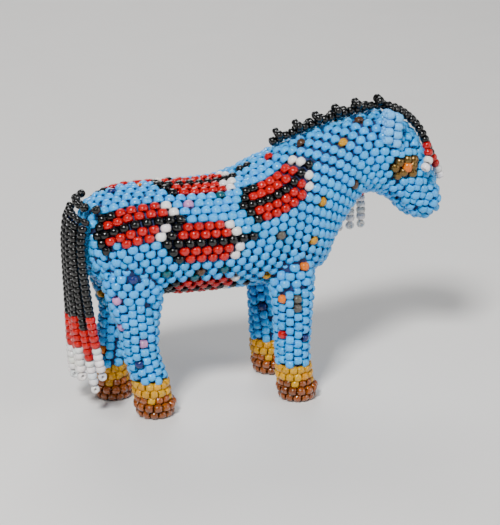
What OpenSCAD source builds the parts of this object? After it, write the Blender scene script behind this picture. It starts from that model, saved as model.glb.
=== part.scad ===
// A small standing horse covered in stitched seed beads. A padded form on stiff
// wires carries skins of beadwork, and strings of beads hang as mane, forelock and
// tail. X points to the head, Z up, Y to the horse's left. The origin is on the
// ground under the middle. Millimetres.

/* [Horse] */
// Length over tail and nose
horse_l = 86; // [72:1:103]
// Height of the belly above the ground
belly_z = 24.4; // [20.5:0.1:29.5]
// Height of the trunk, belly to back
trunk_h = 24.6; // [20.5:0.1:30]
// Width of the trunk
trunk_w = 24.2; // [20:0.1:29]

/* [Legs] */
// Length of a leg along the horse, above the band
leg_l = 8.6; // [7.2:0.1:10]
// Width of a leg across the horse
leg_w = 8.2; // [6.8:0.1:9]
// Distance between the front legs
front_track = 16; // [14:0.1:17]
// Distance between the hind legs
hind_track = 12.4; // [11.6:0.1:13.4]
// Height of a hoof
hoof_h = 4.2; // [3.5:0.1:5]
// Height of the band above a hoof
band_h = 3.5; // [2.9:0.1:4.2]

/* [Build] */
// Thickness of the beadwork
skin_t = 1.6; // [1.3:0.05:1.9]
// Diameter of the stiff wires
wire_d = 1.2; // [0.8:0.1:1.6]
// Clearance round a wire
wire_gap = 0.1; // [0.05:0.01:0.2]
// Gap between the padding and the beadwork over it
pad_gap = 0.05; // [0.03:0.01:0.2]

/* [Beads] */
// Diameter of a bead
bead_d = 2.1; // [1.8:0.05:2.15]
// Length of a bead along its hole
bead_l = 1.12; // [0.9:0.02:1.16]
// Distance from bead to bead along a thread
bead_pitch = 1.2; // [1.18:0.01:1.4]
// Diameter of a bead's hole
bead_bore = 0.8; // [0.6:0.05:1]
// Diameter of the thread
thread_d = 0.3; // [0.2:0.02:0.4]
// Gap between a hanging bead and the beadwork
hang_gap = 0.35; // [0.3:0.05:0.8]

/* [Fringes] */
// Distance from string to string in the tail
tail_step = 2.42; // [2.4:0.01:2.5]
// Length of the tail's strings
tail_l = 39; // [32:0.5:42]
// Distance from string to string in the mane
mane_step = 2.55; // [2.5:0.01:2.7]
// Length of the mane's strings
mane_l = 30; // [24:0.5:32]

/* [Hidden] */
SIDES = [-1, 1];

tail_n = 6;
BLUE = "#66b8eb";
RED = "#d9200f";
WHITE = "#efe8da";
BLACK = "#15120f";
YELLOW = "#f0a404";
BROWN = "#5c1c06";
ORANGE = "#f06a10";
BRONZE = "#8a6a2c";
COTTON = "#d8d2c4";
STEEL = "#9aa0a6";

// The outlines below are drawn for a horse of these sizes, and follow the real ones.
drawn_l = 86;
drawn_belly = 25.4;
drawn_trunk_h = 24.6;
drawn_w = 24.2;
drawn_mid = 3.7;

function along(x) = (x - drawn_mid) * horse_l / drawn_l;
function aside(y) = y * trunk_w / drawn_w;
function aloft(z) =
  z < drawn_belly ? z * belly_z / drawn_belly : belly_z + (z - drawn_belly) * trunk_h / drawn_trunk_h;

// Smooth curve through a list of vectors, t from 0 to len - 1
function clamped(v, i) = v[max(0, min(len(v) - 1, i))];
function smooth(v, t) =
  let (
    i = min(floor(t), len(v) - 2),
    f = t - i,
    a = clamped(v, i - 1),
    b = v[i],
    c = v[i + 1],
    d = clamped(v, i + 2)
  )
  0.5 * (2 * b + (c - a) * f + (2 * a - 5 * b + 4 * c - d) * f ^ 2 + (3 * b - a - 3 * c + d) * f ^ 3);

// Sections of the trunk, neck and head: back point x z, belly point x z, half width
TRUNK = [
  [-36.3, 40.2, -36.3, 37.0, 1.6],
  [-35.2, 46.0, -35.3, 32.6, 6.0],
  [-32.4, 48.5, -32.2, 29.4, 8.9],
  [-27.6, 50.0, -27.4, 27.3, 11.0],
  [-20.0, 50.3, -20.0, 26.0, 11.8],
  [-12.0, 50.0, -11.0, 25.4, 12.1],
  [-6.0, 50.3, -1.5, 25.3, 12.0],
  [-1.4, 51.9, 8.5, 25.4, 11.4],
  [3.6, 54.0, 16.9, 28.1, 10.4]
];
NECK = [
  [3.6, 54.0, 16.9, 28.1, 10.4],
  [9.8, 56.3, 19.9, 33.8, 9.2],
  [16.6, 58.4, 22.9, 38.8, 7.9],
  [23.0, 60.0, 26.2, 42.6, 7.0]
];
HEAD = [
  [23.0, 60.0, 26.2, 42.6, 7.0],
  [29.4, 60.9, 29.2, 42.4, 6.7],
  [34.6, 59.5, 32.4, 41.0, 6.6],
  [38.6, 56.0, 35.0, 38.4, 6.3],
  [41.4, 50.6, 37.6, 36.6, 5.7],
  [43.8, 45.4, 39.8, 35.8, 5.1],
  [45.0, 41.6, 41.8, 35.7, 4.3],
  [45.2, 39.2, 43.4, 36.6, 1.9]
];

// Points round one section, drawn in by t
ROUND_N = 28;
function section(s, t) =
  let (
    top = [along(s[0]), 0, aloft(s[1])],
    low = [along(s[2]), 0, aloft(s[3])],
    mid = (top + low) / 2,
    half = (top - low) / 2,
    up = half / norm(half),
    reach = max(norm(half) - t, 0.2),
    wide = max(aside(s[4]) - t, 0.15)
  )
  [for (k = [0:ROUND_N - 1]) let (a = 360 * k / ROUND_N)
    mid + up * reach * cos(a) + [0, wide * sin(a), 0]];

// The spot at place t along a run of sections and angle a round it, lifted off the skin
function skin_at(v, t, a) =
  let (
    s = smooth(v, t),
    top = [along(s[0]), 0, aloft(s[1])],
    low = [along(s[2]), 0, aloft(s[3])]
  )
  (top + low) / 2 + (top - low) / 2 * cos(a) + [0, aside(s[4]) * sin(a), 0];
function spot(v, t, a, lift) =
  let (
    here = skin_at(v, t, a),
    out = cross(skin_at(v, t + 0.02, a) - here, skin_at(v, t, a + 1) - here)
  )
  here + out / norm(out) * lift;

// Sections of a leg: height, front x, back x, middle y, half width. The foot's shift
// moves the lower sections along the horse.
function leg_ring(s, t, n = 20) =
  let (mid = (s[1] + s[2]) / 2, half = max((s[1] - s[2]) / 2 - t, 0.2), wide = max(s[4] - t, 0.2))
  [for (k = [0:n - 1]) let (a = -360 * k / n) [mid + half * cos(a), s[3] + wide * sin(a), s[0]]];
function leg_rings(v, n, t) = [for (k = [0:n]) leg_ring(smooth(v, k * (len(v) - 1) / n), t)];

foot_z = hoof_h + band_h;
front_x = along(7.7);
front_foot_x = along(8.6);
function front_leg(side) = let (y = side * front_track / 2, h = leg_l / 2, w = leg_w / 2) [
  [aloft(41), front_x + h - 0.8, front_x - h + 0.2, y - side * 3.4, w - 1.2],
  [aloft(36), front_x + h + 0.8, front_x - h - 1.4, y - side * 2.1, w - 0.1],
  [aloft(31), front_x + h + 1.3, front_x - h - 1.7, y - side * 1.4, w + 0.2],
  [aloft(26.5), front_x + h + 1.0, front_x - h - 1.0, y - side * 0.5, w + 0.1],
  [aloft(22), front_x + h + 0.4, front_x - h - 0.3, y, w],
  [aloft(16), front_x + h + 0.1, front_x - h + 0.1, y, w],
  [aloft(12), front_x + h - 0.2, front_x - h + 0.3, y, w - 0.2],
  [foot_z, front_foot_x + h - 0.7, front_foot_x - h - 0.3, y, w - 0.1]
];
hind_x = along(-26.6);
hind_foot_x = [along(-23.2), along(-28.9)];
function hind_leg(side) =
  let (y = side * hind_track / 2, h = leg_l / 2, w = leg_w / 2, foot = hind_foot_x[side > 0 ? 1 : 0]) [
  [aloft(43), hind_x + h - 0.5, hind_x - h + 0.6, y - side * 1.8, w - 0.3],
  [aloft(38), hind_x + h + 2.2, hind_x - h - 1.6, y - side * 1.2, w + 1.0],
  [aloft(33), hind_x + h + 3.0, hind_x - h - 2.6, y - side * 0.8, w + 1.5],
  [aloft(28.5), hind_x + h + 2.6, hind_x - h - 1.9, y - side * 0.5, w + 1.1],
  [aloft(24.5), hind_x + h + 1.7, hind_x - h - 0.8, y - side * 0.2, w + 0.5],
  [aloft(21), hind_x * 0.9 + foot * 0.1 + h + 0.9, hind_x * 0.9 + foot * 0.1 - h + 0.2, y, w + 0.2],
  [aloft(16), hind_x * 0.65 + foot * 0.35 + h - 0.2, hind_x * 0.65 + foot * 0.35 - h + 0.1, y, w],
  [aloft(12), hind_x * 0.35 + foot * 0.65 + h - 0.3, hind_x * 0.35 + foot * 0.65 - h + 0.1, y, w - 0.2],
  [foot_z, foot + h - 0.3, foot - h + 0.1, y, w - 0.1]
];

// One closed skin over rings of points, all rings with the same number of points.
// A looped one joins its last ring to its first instead of shutting both ends.
module lofted(r, looped = false) {
  n = len(r[0]);
  m = len(r);
  points = [for (ring = r) each ring];
  sides = [for (i = [0:m - (looped ? 1 : 2)]) for (k = [0:n - 1])
    let (
      up = ((i + 1) % m) * n,
      a = i * n + k,
      b = i * n + (k + 1) % n,
      c = up + (k + 1) % n,
      d = up + k
    )
    each [[a, b, c], [a, c, d]]];
  first = [for (k = [0:n - 1]) n - 1 - k];
  last = [for (k = [0:n - 1]) (m - 1) * n + k];
  polyhedron(points, looped ? sides : concat([first], sides, [last]), convexity = 6);
}
function turned(v) = [for (i = [len(v) - 1:-1:0]) v[i]];

// Rings over part of a run of sections, from place t0 to place t1
function part_rings(v, t0, t1, n, t) = [for (k = [0:n]) section(smooth(v, t0 + (t1 - t0) * k / n), t)];

rump_in = 1.25;
nose_in = 1.0;
pad_in = skin_t + pad_gap;
function trunk_rings(t) = part_rings(TRUNK, t > 0 ? rump_in : 0, len(TRUNK) - 1, 20, t);
// The stretches of the skin that the hind and the front legs are cut to
function hind_stretch() = [for (k = [0:12]) trunk_rings(0)[k]];
function front_stretch() =
  concat([for (k = [13:20]) trunk_rings(0)[k]], [for (k = [1:4]) neck_rings(0)[k]]);
function neck_rings(t) = part_rings(NECK, 0, len(NECK) - 1, 7, t);
function head_rings(t) = part_rings(HEAD, 0, len(HEAD) - 1 - (t > 0 ? nose_in : 0), 16, t);

module rod(a, b, d) {
  v = b - a;
  translate(a)
    rotate([0, acos(v[2] / norm(v)), atan2(v[1], v[0])])
      cylinder(d = d, h = norm(v), $fn = 24);
}

// Both ends of the wires
hoof_shift = 0.9;
wire_foot_z = 1.4;
function front_wire(side) = [
  [front_foot_x + hoof_shift / 2, side * front_track / 2, wire_foot_z],
  [front_x, side * (front_track / 2 - 2.6), aloft(38)]
];
function hind_wire(side) = [
  [hind_foot_x[side > 0 ? 1 : 0] + hoof_shift / 2, side * hind_track / 2, wire_foot_z],
  [hind_x + 1, side * (hind_track / 2 - 1.6), aloft(38)]
];
neck_wire_ends = [[along(0), 0, aloft(38.5)], [along(37), 0, aloft(50)]];

module wire(ends) { color(STEEL) rod(ends[0], ends[1], wire_d); }
module wire_bore(ends) {
  reach = (ends[1] - ends[0]) / norm(ends[1] - ends[0]);
  rod(ends[0] - reach * wire_gap, ends[1] + reach * wire_gap, wire_d + 2 * wire_gap);
}

// Padding
module trunk_padding() color(COTTON) difference() {
  lofted(trunk_rings(pad_in));
  wire_bore(neck_wire_ends);
  for (side = SIDES) {
    wire_bore(front_wire(side));
    wire_bore(hind_wire(side));
  }
}
module neck_padding() color(COTTON) difference() {
  lofted(neck_rings(pad_in));
  wire_bore(neck_wire_ends);
}
module head_padding() color(COTTON) difference() {
  lofted(head_rings(pad_in));
  wire_bore(neck_wire_ends);
}
module leg_padding(leg, ends, stretch) color(COTTON) difference() {
  lofted(turned(concat(leg_rings(leg, 12, pad_in), [hoof_ring(leg, hoof_h, 0, 0, pad_in)])));
  lofted(stretch);
  wire_bore(ends);
}

module front_padding(side) leg_padding(front_leg(side), front_wire(side), front_stretch());
module hind_padding(side) leg_padding(hind_leg(side), hind_wire(side), hind_stretch());

// Beadwork skins
module trunk_beadwork() color(BLUE) difference() {
  lofted(concat(trunk_rings(0), turned(trunk_rings(skin_t))));
  for (side = SIDES) {
    wire_bore(front_wire(side));
    wire_bore(hind_wire(side));
  }
}
module neck_beadwork() color(BLUE)
  lofted(concat(neck_rings(0), turned(neck_rings(skin_t))), looped = true);
module head_beadwork() color(BLUE) difference() {
  lofted(concat(turned(head_rings(skin_t)), head_rings(0)));
  for (side = SIDES)
    eye_frame(side) translate([0, 0, -2 * skin_t]) cylinder(r = eye_r, h = 4 * skin_t, $fn = 32);
}
module leg_beadwork(leg, stretch) color(BLUE) difference() {
  lofted(concat(turned(leg_rings(leg, 12, 0)), leg_rings(leg, 12, skin_t)), looped = true);
  lofted(stretch);
}

// Bands and hooves
function last_of(v) = v[len(v) - 1];
function hoof_ring(leg, z, grow, shift, t) =
  let (s = last_of(leg))
  leg_ring([z, s[1] + shift + grow, s[2] + shift - grow, s[3], s[4] + grow], t);
module band(leg) color(YELLOW)
  lofted(concat(
    [
      hoof_ring(leg, hoof_h, 0, 0.4, 0),
      hoof_ring(leg, hoof_h + band_h / 2, 0.15, 0.1, 0),
      hoof_ring(leg, foot_z, 0, 0, 0)
    ],
    [hoof_ring(leg, foot_z, 0, 0, skin_t), hoof_ring(leg, hoof_h, 0, 0, skin_t)]
  ), looped = true);
module hoof(leg, ends) color(BROWN) difference() {
  lofted([
    hoof_ring(leg, 0, -0.9, hoof_shift, 0),
    hoof_ring(leg, hoof_h * 0.15, 0.1, hoof_shift, 0),
    hoof_ring(leg, hoof_h * 0.45, 0.6, hoof_shift, 0),
    hoof_ring(leg, hoof_h * 0.8, 0.4, 0.7, 0),
    hoof_ring(leg, hoof_h, 0, 0.4, 0)
  ]);
  wire_bore(ends);
}

// Beads
module bead(d = bead_d, l = bead_l) difference() {
  intersection() {
    sphere(d = d, $fn = 24);
    cube([2 * d, 2 * d, l], center = true);
  }
  cylinder(d = bead_bore, h = 2 * l, center = true, $fn = 16);
}
module facing(v) rotate([0, acos(v[2] / norm(v)), atan2(v[1], v[0])]) children();

// Lengths along a route, measured on the inside of its bends, where the beads' rims
// meet, and the spot at a length
rim_r = sqrt(bead_d ^ 2 - bead_l ^ 2) / 2;
function turn(p, i) =
  i + 1 >= len(p) ? 0 :
    let (a = p[i] - p[i - 1], b = p[i + 1] - p[i])
    acos(min(1, a * b / (norm(a) * norm(b)))) * PI / 180;
function stride(p, i) = i < len(p) ? norm(p[i] - p[i - 1]) - rim_r * turn(p, i) : 0;
function steps(p) = [for (i = 0, s = 0; i < len(p); i = i + 1, s = s + stride(p, i)) s];
function fine(p) = [for (k = [0:8 * (len(p) - 1)]) smooth(p, k / 8)];
function at_length(p, s, l) = [for (c = [0:2]) lookup(l, [for (i = [0:len(p) - 1]) [s[i], p[i][c]]])];

// A string of beads on its thread, along a route, for a length. Its last beads are
// red and then white, and the very last is turned across as a stop.
module bead_string(route, l, reds, whites) {
  p = fine(route);
  s = steps(p);
  n = floor(min(l, last_of(s)) / bead_pitch);
  for (i = [0:n - 1]) {
    here = at_length(p, s, (i + 0.5) * bead_pitch);
    way = at_length(p, s, (i + 0.8) * bead_pitch) - at_length(p, s, (i + 0.2) * bead_pitch);
    stop = i == n - 1;
    tint = i >= n - whites ? WHITE : i >= n - whites - reds ? RED : BLACK;
    color(tint)
      translate(stop ? here + way / norm(way) * (bead_d - bead_pitch + 0.12) / 2 : here)
        if (stop) rotate([90, 0, 0]) bead();
        else facing(way) bead();
  }
  // The thread ends inside the first and the last bead
  color(BLACK)
    thread([for (i = [0:n - 1]) at_length(p, s, (0.1 + i * (n - 1.2) / (n - 1)) * bead_pitch)]);
}
module thread(p) {
  sides = 5;
  lofted([for (i = [0:len(p) - 1])
    let (
      v = p[min(i + 1, len(p) - 1)] - p[max(i - 1, 0)],
      u = cross(v, [1, 0.3, 0]) / norm(cross(v, [1, 0.3, 0])),
      w = cross(u, v) / norm(v)
    )
    [for (k = [0:sides - 1]) p[i] + (u * cos(360 * k / sides) + w * sin(360 * k / sides)) * thread_d / 2]]);
}

// Ears
module ear(side) color(BLUE) difference() {
  hull() {
    translate([along(31.8), side * aside(5.6), aloft(55.4)]) sphere(d = 3.4, $fn = 16);
    translate([along(32.8), side * aside(5.8), aloft(57.2)]) sphere(d = 3.6, $fn = 16);
    translate([along(32.4), side * aside(5.9), aloft(60.0)]) sphere(d = 2.2, $fn = 16);
  }
  lofted(head_rings(0));
}

// Eyes
eye_t = 2.45;
ring_beads = 8;
ring_r = bead_d + 0.12;
eye_r = ring_r + bead_d / 2 + 0.12;
module eye_frame(side) {
  here = spot(HEAD, eye_t, side * 88, -skin_t);
  translate(here) rotate([side * -82, 0, side * -8]) children();
}
module eye(side) color(ORANGE) eye_frame(side) translate([0, 0, bead_d / 2 + 0.15]) rotate([0, 90, 0]) bead();
module eye_ring(side) color(BRONZE) eye_frame(side)
  for (k = [0:ring_beads - 1]) rotate([0, 0, 360 * k / ring_beads])
    translate([ring_r, 0, bead_d / 2 + 0.15]) rotate([90, 0, 0]) bead();

// Crest of the mane: a row of beads from withers to poll, with beads perched on it
crest_pitch = 1.52;
perch_each = 3;
crest_route = concat(
  [for (k = [1:8]) spot(NECK, k * 3 / 8, 0, bead_d / 2 + 0.05)],
  [for (k = [1:3]) spot(HEAD, k * 0.4, 0, bead_d / 2 + 0.05)]
);
module mane_crest() color(BLACK) {
  p = fine(crest_route);
  s = steps(p);
  n = floor(last_of(s) / crest_pitch);
  for (i = [0:n - 1]) {
    here = at_length(p, s, (i + 0.5) * crest_pitch);
    way = at_length(p, s, (i + 0.9) * crest_pitch) - at_length(p, s, (i + 0.1) * crest_pitch);
    translate(here) facing(way) bead();
    if (i % perch_each == 1)
      translate(here + cross(way, [0, 1, 0]) / norm(way) * (bead_d + 0.05)) facing(way) bead();
  }
}

// Mane strings lie over the left side of the neck, each in a plane across the horse
lift = bead_d / 2 + hang_gap;
side_run = concat(NECK, [for (i = [1:3]) HEAD[i]]);
function neck_spot(x, a) =
  let (t = lookup(x, [for (k = [0:48]) let (t = k / 8) [spot(side_run, t, a, lift)[0], t]]))
  let (p = spot(side_run, t, a, lift)) [x, p[1], p[2]];
mane_x0 = along(13.4);
mane_a0 = 21;
mane_angles = [for (k = [0:7]) mane_a0 + k * 10.5];
function mane_route(i) =
  let (
    x = mane_x0 + i * mane_step,
    over = [for (k = [0:len(mane_angles) - 1])
      neck_spot(x, mane_angles[k]) + [max(0, k - 4) * 0.28, 0, 0]],
    low = last_of(over)
  )
  concat(over, [for (d = [4, 9, 15, 22, 30]) low + [0.8 * min(1, d / 15), 0.25, -d]]);
module mane_string(i) bead_string(mane_route(i), mane_l, 4, 5);

// Forelock strings lie down the forehead, one beside the right eye and one on the nose
forelock_l = [22.5, 25];
forelock_places = [
  [[1.35, -14], [1.7, -15], [2.1, -19], [2.5, -26], [2.9, -34], [3.3, -42], [3.7, -49], [4.2, -53], [4.9, -56]],
  [[1.35, 14], [1.8, 11], [2.3, 9], [2.8, 7], [3.3, 5], [3.8, 4], [4.3, 3], [4.9, 2], [5.6, 2]]
];
function forelock_route(i) = [for (p = forelock_places[i]) spot(HEAD, p[0], p[1], lift + 0.1)];
module forelock_string(i) bead_string(forelock_route(i), forelock_l[i], 2, 2);

// Tail: strings side by side from a short dock, falling behind the rump
dock_z = aloft(45.3);
function rump_place(y, z) =
  let (t = lookup(abs(y), [for (k = [0:30])
    let (
      t = 0.9 + k * 0.08,
      q = smooth(TRUNK, t),
      c = min(1, (z - aloft((q[1] + q[3]) / 2)) / (aloft(q[1]) - aloft(q[3])) * 2)
    )
    [aside(q[4]) * sqrt(max(0, 1 - c * c)) + k * 0.0001, t]]))
  [t, asin(y / aside(smooth(TRUNK, t)[4]))];
function behind_rump(y, z, up) =
  let (p = rump_place(y, z), here = skin_at(TRUNK, p[0], p[1]), out = spot(TRUNK, p[0], p[1], 1) - here)
  [here[0] + up / min(out[0], -0.35), y, z];
// Each string falls back from its root and then leans to the legs
function tail_y(i) = (i - (tail_n - 1) / 2) * tail_step;
tail_drops = [[0, 0], [-0.9, 1.4], [-1.5, 4.4], [-1.7, 9], [-1.6, 17], [-1.4, 26], [-1.1, 34], [-0.8, 42]];
tail_lean = [4.4, 3.4, 1.6, 1.8, 0.4, -0.4];
tail_shorter = [4.2, 0, 2.4, 1.2, 1, 2];
function tail_root(i) = behind_rump(tail_y(i), dock_z, lift);
function tail_route(i) =
  [for (d = tail_drops) tail_root(i) + [d[0] + tail_lean[i] * (d[1] / 42) ^ 1.6, 0, -d[1]]];
module tail_string(i) bead_string(tail_route(i), tail_l - tail_shorter[i], 5, 5);
module tail_dock() color(BLACK)
  for (i = [0:tail_n - 1]) {
    root = tail_root(i);
    translate(behind_rump(root[1], root[2] + bead_d * 0.85, bead_d / 2 + 0.15)) rotate([90, 0, 0]) bead();
  }

trunk_padding();
neck_padding();
head_padding();
front_padding(-1);  // front_right_leg_padding
front_padding(1);  // front_left_leg_padding
hind_padding(-1);  // hind_right_leg_padding
hind_padding(1);  // hind_left_leg_padding
wire(neck_wire_ends);  // neck_wire
wire(front_wire(-1));  // front_right_leg_wire
wire(front_wire(1));  // front_left_leg_wire
wire(hind_wire(-1));  // hind_right_leg_wire
wire(hind_wire(1));  // hind_left_leg_wire
trunk_beadwork();
neck_beadwork();
head_beadwork();
leg_beadwork(front_leg(-1), front_stretch());  // front_right_leg_beadwork
leg_beadwork(front_leg(1), front_stretch());  // front_left_leg_beadwork
leg_beadwork(hind_leg(-1), hind_stretch());  // hind_right_leg_beadwork
leg_beadwork(hind_leg(1), hind_stretch());  // hind_left_leg_beadwork
band(front_leg(-1));  // front_right_band
band(front_leg(1));  // front_left_band
band(hind_leg(-1));  // hind_right_band
band(hind_leg(1));  // hind_left_band
hoof(front_leg(-1), front_wire(-1));  // front_right_hoof
hoof(front_leg(1), front_wire(1));  // front_left_hoof
hoof(hind_leg(-1), hind_wire(-1));  // hind_right_hoof
hoof(hind_leg(1), hind_wire(1));  // hind_left_hoof
ear(-1);  // ear_right
ear(1);  // ear_left
eye(-1);  // eye_right
eye(1);  // eye_left
eye_ring(-1);  // eye_ring_right
eye_ring(1);  // eye_ring_left
mane_crest();
tail_dock();
mane_string(0);  // mane_string_1
mane_string(1);  // mane_string_2
mane_string(2);  // mane_string_3
mane_string(3);  // mane_string_4
mane_string(4);  // mane_string_5
mane_string(5);  // mane_string_6
mane_string(6);  // mane_string_7
forelock_string(0);  // forelock_string_1
forelock_string(1);  // forelock_string_2
tail_string(0);  // tail_string_1
tail_string(1);  // tail_string_2
tail_string(2);  // tail_string_3
tail_string(3);  // tail_string_4
tail_string(4);  // tail_string_5
tail_string(5);  // tail_string_6
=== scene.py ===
# A small standing horse in stitched seed beads. Every bead of the skins lies in a row
# along the trunk, the neck, the head or a leg, half a bead on from the row beside it,
# over a dark blue ground cloth. Strings of beads hang as mane, forelock and tail.
import math

import bpy
import numpy as np
from bpy.props import FloatProperty, FloatVectorProperty, IntProperty, PointerProperty
from mathutils import Matrix, Vector
from mathutils.bvhtree import BVHTree


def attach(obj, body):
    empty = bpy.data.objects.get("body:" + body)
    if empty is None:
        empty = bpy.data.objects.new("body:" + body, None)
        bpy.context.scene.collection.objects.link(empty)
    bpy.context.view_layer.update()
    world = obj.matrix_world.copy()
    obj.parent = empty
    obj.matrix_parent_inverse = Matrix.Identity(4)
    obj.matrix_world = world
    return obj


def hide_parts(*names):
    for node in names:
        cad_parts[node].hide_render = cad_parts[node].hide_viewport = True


bl_info = {
    "name": "Beaded horse",
    "version": (1, 0, 0),
    "blender": (4, 5, 0),
    "location": "3D View > Sidebar > Horse",
    "description": "Beads, cloth and stage of a small beaded horse",
    "category": "Object",
}

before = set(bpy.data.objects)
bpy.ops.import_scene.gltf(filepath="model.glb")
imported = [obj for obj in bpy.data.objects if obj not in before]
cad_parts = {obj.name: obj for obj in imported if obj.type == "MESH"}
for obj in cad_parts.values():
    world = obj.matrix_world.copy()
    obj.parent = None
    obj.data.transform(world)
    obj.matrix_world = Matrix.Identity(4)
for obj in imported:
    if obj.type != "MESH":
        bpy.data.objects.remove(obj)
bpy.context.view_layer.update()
MM = 0.001
FIXED = "horse"
LEGS = ("front_right", "front_left", "hind_right", "hind_left")

# Outlines in millimetres, as the CAD's skins: back point x z, belly point x z, half width
BODY = [
    (-40.0, 39.2, -40.0, 36.0, 1.6),
    (-38.9, 45.0, -39.0, 31.6, 6.0),
    (-36.1, 47.5, -35.9, 28.4, 8.9),
    (-31.3, 49.0, -31.1, 26.3, 11.0),
    (-23.7, 49.3, -23.7, 25.0, 11.8),
    (-15.7, 49.0, -14.7, 24.4, 12.1),
    (-9.7, 49.3, -5.2, 24.3, 12.0),
    (-5.1, 50.9, 4.8, 24.4, 11.4),
    (-0.1, 53.0, 13.2, 27.1, 10.4),
    (6.1, 55.3, 16.2, 32.8, 9.2),
    (12.9, 57.4, 19.2, 37.8, 7.9),
    (19.3, 59.0, 22.5, 41.6, 7.0),
    (25.7, 59.9, 25.5, 41.4, 6.7),
    (30.9, 58.5, 28.7, 40.0, 6.6),
    (34.9, 55.0, 31.3, 37.4, 6.3),
    (37.7, 49.6, 33.9, 35.6, 5.7),
    (40.1, 44.4, 36.1, 34.8, 5.1),
    (41.3, 40.6, 38.1, 34.7, 4.3),
    (41.5, 38.2, 39.7, 35.6, 1.9),
]
NECK_FROM, HEAD_FROM = 8, 11
# Where along the body its middle row has come up to the middle of the side
SAG_END = 4.2

# Legs: height, front x, back x, middle y towards the inside, half width
FRONT_LEG = [
    (40.0, 7.5, -0.1, 3.4, 2.9),
    (35.0, 9.1, -1.7, 2.1, 4.0),
    (30.0, 9.6, -2.0, 1.4, 4.3),
    (25.5, 9.3, -1.3, 0.5, 4.2),
    (21.1, 8.7, -0.6, 0.0, 4.1),
    (15.4, 8.4, -0.2, 0.0, 4.1),
    (11.5, 8.1, 0.0, 0.0, 3.9),
    (7.7, 8.5, 0.3, 0.0, 4.0),
]
HIND_LEG = [
    (42.0, -26.5, -34.0, 1.8, 3.8),
    (37.0, -23.8, -36.2, 1.2, 5.1),
    (32.0, -23.0, -37.2, 0.8, 5.6),
    (27.5, -23.4, -36.5, 0.5, 5.2),
    (23.5, -24.3, -35.4, 0.2, 4.6),
    (20.2, -25.1, -34.4, 0.0, 4.3),
    (15.4, -26.2, -34.5, 0.0, 4.1),
    (11.5, -26.3, -34.5, 0.0, 3.9),
    (7.7, -26.3, -34.5, 0.0, 4.0),
]
# How far each of the lower places of a hind leg goes towards its foot
HIND_SHARE = [0, 0, 0, 0, 0, 0.1, 0.35, 0.65, 1]
FRONT_TRACK, HIND_TRACK = 16.0, 12.4
FOOT_SHIFT = {"hind_right": 3.4, "hind_left": -2.3}
# Band and hoof below the leg: height, growth and shift forward
FOOT = [
    (7.7, 0.0, 0.0),
    (5.95, 0.15, 0.1),
    (4.2, 0.0, 0.4),
    (3.4, 0.4, 0.7),
    (1.9, 0.6, 0.9),
    (0.6, 0.1, 0.9),
    (0.0, -0.9, 0.9),
]


def smooth(rows, t):
    """Smooth curve through a list of rows, t from 0 to its length less one."""
    last = len(rows) - 1
    i = min(max(int(math.floor(t)), 0), last - 1)
    f = t - i
    a, b, c, d = (np.array(rows[min(max(k, 0), last)], float) for k in (i - 1, i, i + 1, i + 2))
    square = 2 * a - 5 * b + 4 * c - d
    return 0.5 * (2 * b + (c - a) * f + square * f**2 + (3 * b - a - 3 * c + d) * f**3)


class Form:
    """A closed skin: places on it are t along it and a round it, in radians."""

    def __init__(self, rows, upright=False):
        self.rows = rows
        self.upright = upright
        self.last = len(rows) - 1

    def point(self, t, a):
        s = smooth(self.rows, t)
        if self.upright:
            z, front, back, y, wide = s
            x = (front + back + (front - back) * math.cos(a)) / 2
            return np.array([x, y + wide * math.sin(a), z])
        top = np.array([s[0], 0, s[1]])
        low = np.array([s[2], 0, s[3]])
        return (top + low) / 2 + (top - low) / 2 * math.cos(a) + np.array([0, s[4] * math.sin(a), 0])

    def axes(self, t, a):
        """The point, the way along the skin, the way round it and the way out."""
        h = 0.01
        here = self.point(t, a)
        along = self.point(min(t + h, self.last), a) - self.point(max(t - h, 0), a)
        around = self.point(t, a + h) - self.point(t, a - h)
        along /= np.linalg.norm(along)
        around /= np.linalg.norm(around)
        out = np.cross(along, around)
        out /= np.linalg.norm(out)
        return here, along, around, out

    def seat(self, t, a, depth):
        here, _, _, out = self.axes(t, a)
        return here - out * depth

    def at_height(self, z):
        """The place along an upright form, from its height."""
        return float(np.interp(-z, [-row[0] for row in self.rows], range(len(self.rows))))


def run_length(points):
    """How far each point of a run lies from the first, along the run."""
    return np.concatenate([[0], np.cumsum(np.linalg.norm(np.diff(points, axis=0), axis=1))])


def leg_form(leg, foot=False):
    """A leg down to its band, or with foot=True its band and hoof."""
    side = -1 if leg.endswith("right") else 1
    rows = FRONT_LEG if leg.startswith("front") else HIND_LEG
    track = FRONT_TRACK if leg.startswith("front") else HIND_TRACK
    shift = FOOT_SHIFT.get(leg, 0)
    shares = HIND_SHARE if shift else [0] * len(rows)
    placed = [
        (z, front + shift * k, back + shift * k, side * (track / 2 - y), w)
        for (z, front, back, y, w), k in zip(rows, shares)
    ]
    if foot:
        _, front, back, y, w = placed[-1]
        placed = [(z, front + s + g, back + s - g, y, w + g) for z, g, s in FOOT]
    return Form(placed, upright=True)


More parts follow.
